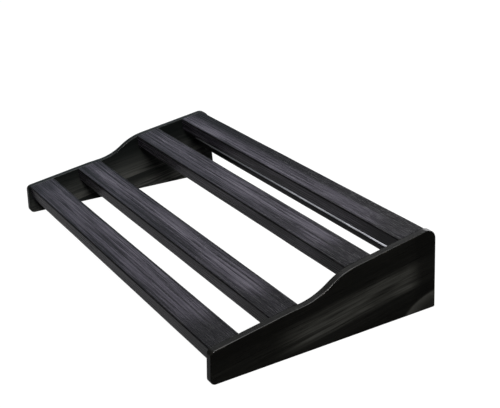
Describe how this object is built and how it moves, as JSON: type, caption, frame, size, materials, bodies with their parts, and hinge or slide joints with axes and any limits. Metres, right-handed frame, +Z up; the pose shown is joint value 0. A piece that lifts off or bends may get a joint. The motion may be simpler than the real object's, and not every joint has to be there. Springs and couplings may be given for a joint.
{
  "type": "wooden pedalboard",
  "caption": "Free-standing two-tier wooden board for guitar effect pedals: flat slats joined between S-curved side panels, with open gaps for cables and a flat tie bar at the rear.",
  "frame": {"origin": "centre of the footprint, on the floor plane that the side panels stand on", "axes": "+X along the slats to the player's right, +Y from the player's side to the high rear side, +Z up"},
  "size_m": [0.56, 0.3318, 0.1128],
  "materials": {
    "black_stained_wood": "black stain under satin lacquer",
    "dowel_beech": "plain",
    "black_steel": "satin black paint, rubbed through on the top face"
  },
  "bodies": {
    "root": {"left_side_panel": "black_stained_wood", "right_side_panel": "black_stained_wood", "slat_1": "black_stained_wood", "slat_2": "black_stained_wood", "slat_3": "black_stained_wood", "slat_4": "black_stained_wood", "dowel_slat_1_left_front": "dowel_beech", "dowel_slat_1_left_rear": "dowel_beech", "dowel_slat_1_right_front": "dowel_beech", "dowel_slat_1_right_rear": "dowel_beech", "dowel_slat_2_left_front": "dowel_beech", "dowel_slat_2_left_rear": "dowel_beech", "dowel_slat_2_right_front": "dowel_beech", "dowel_slat_2_right_rear": "dowel_beech", "dowel_slat_3_left_front": "dowel_beech", "dowel_slat_3_left_rear": "dowel_beech", "dowel_slat_3_right_front": "dowel_beech", "dowel_slat_3_right_rear": "dowel_beech", "dowel_slat_4_left_front": "dowel_beech", "dowel_slat_4_left_rear": "dowel_beech", "dowel_slat_4_right_front": "dowel_beech", "dowel_slat_4_right_rear": "dowel_beech", "rear_tie_bar": "black_steel"}
  },
  "joints": []
}
